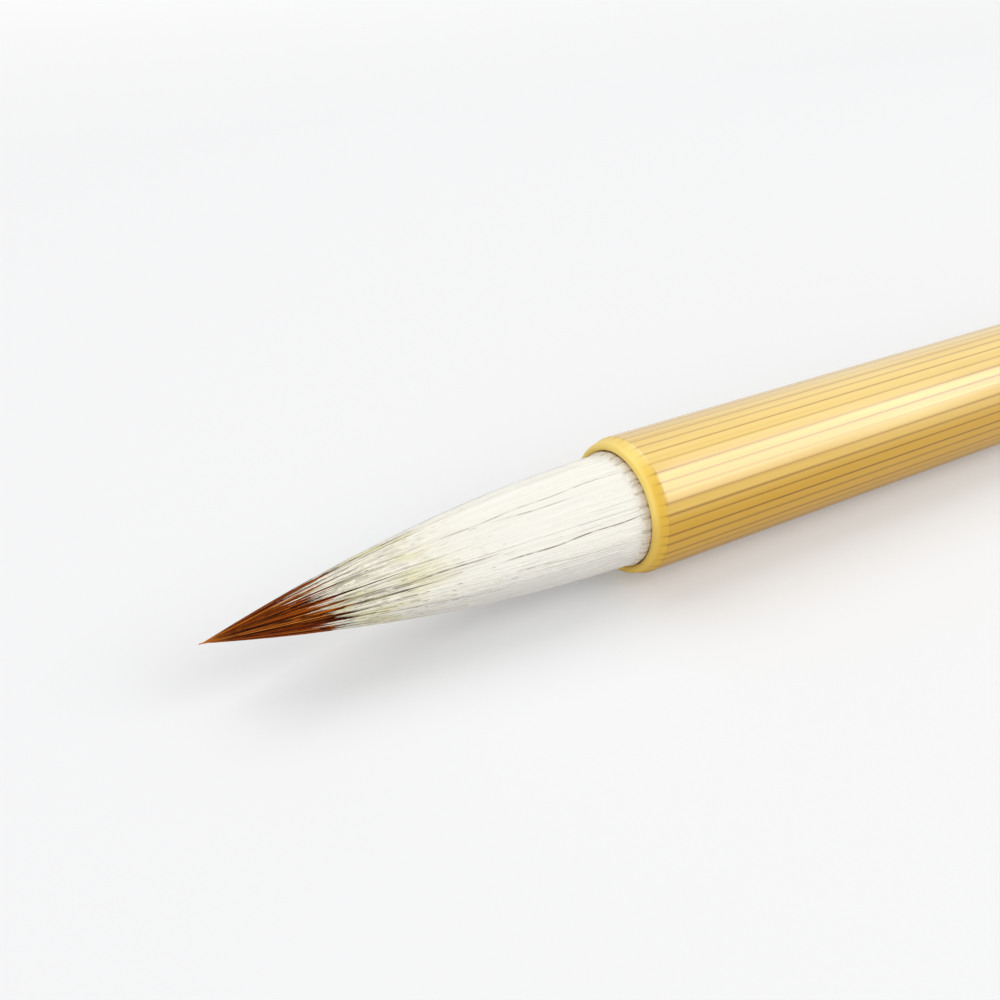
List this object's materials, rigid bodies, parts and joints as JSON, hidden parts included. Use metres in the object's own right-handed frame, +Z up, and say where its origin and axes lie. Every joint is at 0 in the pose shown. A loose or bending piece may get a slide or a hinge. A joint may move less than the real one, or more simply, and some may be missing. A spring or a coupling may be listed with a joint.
{
  "type": "calligraphy brush",
  "caption": "Writing brush: a bamboo handle with a bored mouth, a layered hair tuft dressed to a point and glued in, and a turned plug in the tail.",
  "frame": {"origin": "bottom centre of the whole brush as it lies on its side: under the middle of its length, at the lowest line of the handle", "axes": "+X along the brush from the point of the tuft to the tail, +Z up, the brush lying on its side"},
  "size_m": [0.243, 0.012, 0.0119],
  "materials": {
    "bamboo": "thin clear lacquer over pale straw-yellow bamboo, satin to gloss",
    "stained_hardwood": "dark brown stained hardwood, lacquered",
    "white_hair": "straight white animal hair, dry, dressed to a point",
    "lining_hair": "short straw-coloured animal hair",
    "brown_hair": "straight brown animal hair, slightly glossy",
    "hemp_thread": "twisted hemp thread",
    "rosin": "set amber rosin",
    "set_glue": "set adhesive"
  },
  "bodies": {
    "root": {"handle": "bamboo", "tail_plug": "stained_hardwood", "cover_hair": "white_hair", "lining_hair": "lining_hair", "core_hair": "brown_hair", "root_thread": "hemp_thread", "root_rosin": "rosin", "socket_glue": "set_glue"}
  },
  "joints": []
}
